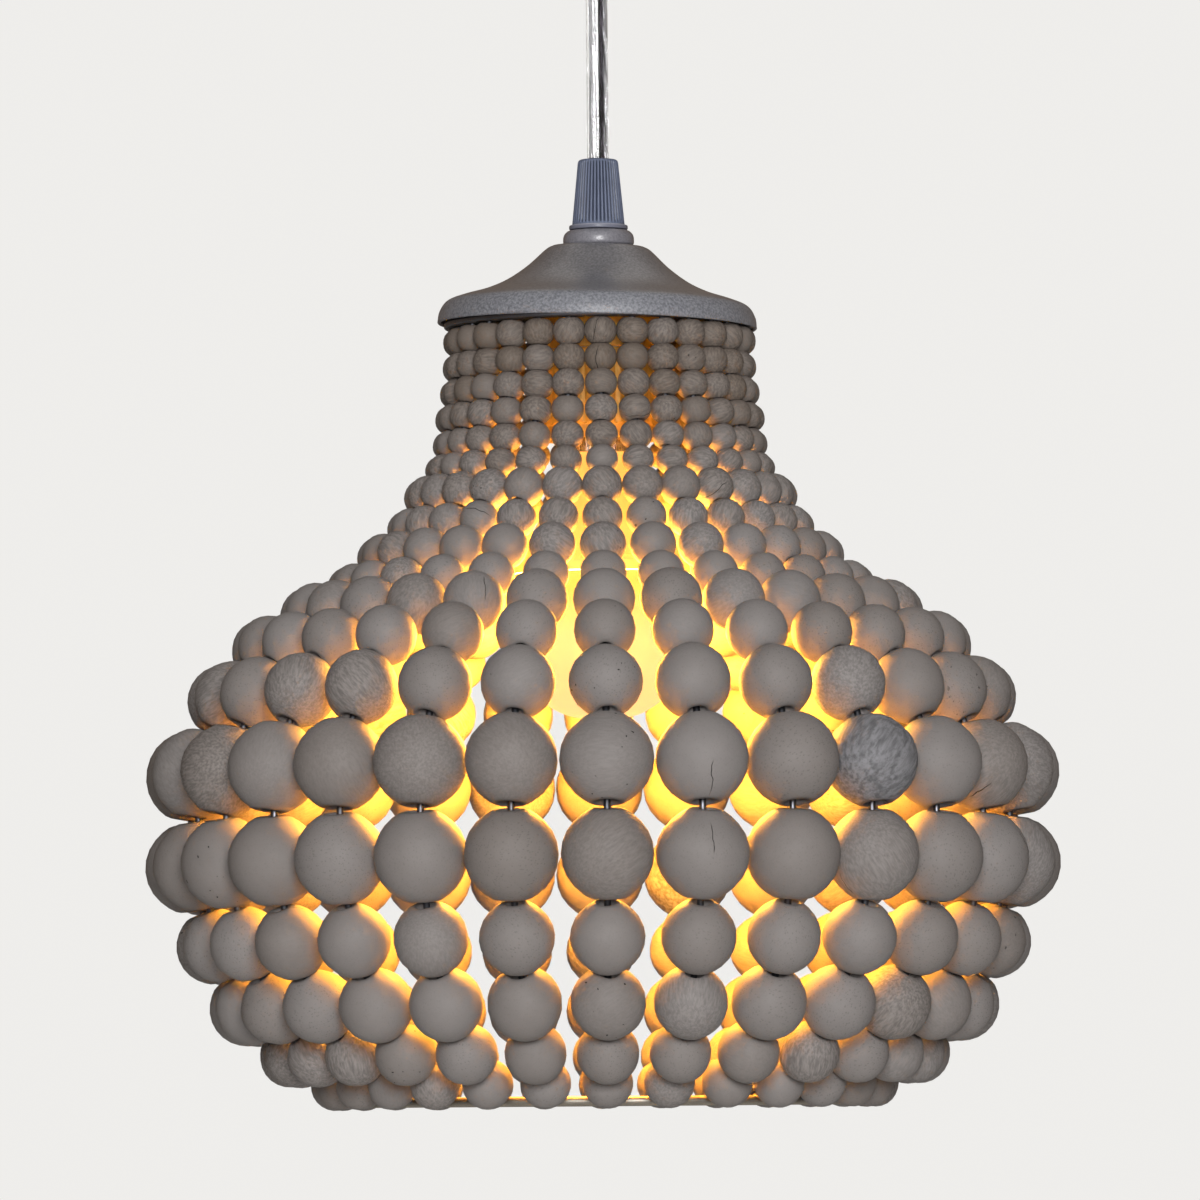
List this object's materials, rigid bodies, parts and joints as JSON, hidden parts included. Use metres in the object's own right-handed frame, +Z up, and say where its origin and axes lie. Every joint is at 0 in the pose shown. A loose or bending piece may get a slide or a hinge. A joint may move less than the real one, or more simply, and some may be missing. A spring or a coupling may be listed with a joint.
{
  "type": "beaded pendant lamp",
  "caption": "Hanging lamp with a bell and ball shaped shade of grey wooden beads on rib wires, under a spun metal cap, on a clear cord from a ceiling rose.",
  "frame": {"origin": "middle of the face that meets the ceiling, on the top of the ceiling bracket", "axes": "+Z up, out of the ceiling face; -Y towards the viewer of the picture; +X to the viewer's right"},
  "size_m": [0.3058, 0.3058, 0.4105],
  "materials": {
    "painted_wood": "matt warm grey paint",
    "steel_wire": "dull steel",
    "grey_enamel": "satin blue-grey enamel, finely stippled",
    "grey_plastic": "moulded blue-grey",
    "black_plastic": "black",
    "white_plastic": "off-white",
    "white_ceramic": "unglazed white",
    "white_board": "white",
    "brass": "plain",
    "bulb_metal": "bright",
    "opal_globe": "opal, lit warm white",
    "clear_sheath": "clear sheath over silvery conductors"
  },
  "bodies": {
    "ceiling_rose": {"rose_cover": "grey_enamel", "ceiling_bracket": "steel_wire", "cover_screw_1": "bulb_metal", "cover_screw_2": "bulb_metal", "cord_gland": "grey_plastic", "gland_nut": "grey_plastic", "terminal_block": "white_plastic", "rose_cord": "clear_sheath"},
    "cord": {"free_cord": "clear_sheath"},
    "shade": {"bead_strand_01": "painted_wood", "bead_strand_02": "painted_wood", "bead_strand_03": "painted_wood", "bead_strand_04": "painted_wood", "bead_strand_05": "painted_wood", "bead_strand_06": "painted_wood", "bead_strand_07": "painted_wood", "bead_strand_08": "painted_wood", "bead_strand_09": "painted_wood", "bead_strand_10": "painted_wood", "bead_strand_11": "painted_wood", "bead_strand_12": "painted_wood", "bead_strand_13": "painted_wood", "bead_strand_14": "painted_wood", "bead_strand_15": "painted_wood", "bead_strand_16": "painted_wood", "bead_strand_17": "painted_wood", "bead_strand_18": "painted_wood", "bead_strand_19": "painted_wood", "bead_strand_20": "painted_wood", "bead_strand_21": "painted_wood", "bead_strand_22": "painted_wood", "bead_strand_23": "painted_wood", "bead_strand_24": "painted_wood", "bead_strand_25": "painted_wood", "bead_strand_26": "painted_wood", "bead_strand_27": "painted_wood", "bead_strand_28": "painted_wood", "top_hoop": "steel_wire", "bottom_hoop": "steel_wire", "spider": "steel_wire", "shade_cap": "grey_enamel", "collar": "grey_enamel", "cord_grip": "grey_plastic", "threaded_nipple": "steel_wire", "lock_nut": "steel_wire", "holder_dome": "brass", "holder_skirt": "brass", "holder_insulator": "white_ceramic", "terminal_screw_1": "brass", "terminal_screw_2": "brass", "screw_sleeve": "brass", "centre_contact": "brass", "lamp_cord": "clear_sheath"},
    "bulb": {"bulb_tip_contact": "brass", "bulb_base_insulator": "black_plastic", "bulb_screw_base": "bulb_metal", "bulb_housing": "white_plastic", "led_board": "white_board", "bulb_globe": "opal_globe", "driver_board": "white_board"}
  },
  "joints": [
    {"name": "cord_swing", "type": "hinge", "parent": "ceiling_rose", "child": "cord", "pos_m": [0, 0, -0.0329], "axis": [1, 0, 0], "range_deg": [-25, 25]},
    {"name": "shade_tilt", "type": "hinge", "parent": "cord", "child": "shade", "pos_m": [0, 0, -0.0895], "axis": [0, 1, 0], "range_deg": [-25, 25]},
    {"name": "bulb_unscrew", "type": "slide", "parent": "shade", "child": "bulb", "axis": [0, 0, -1], "range_m": [0, 0.024]}
  ]
}
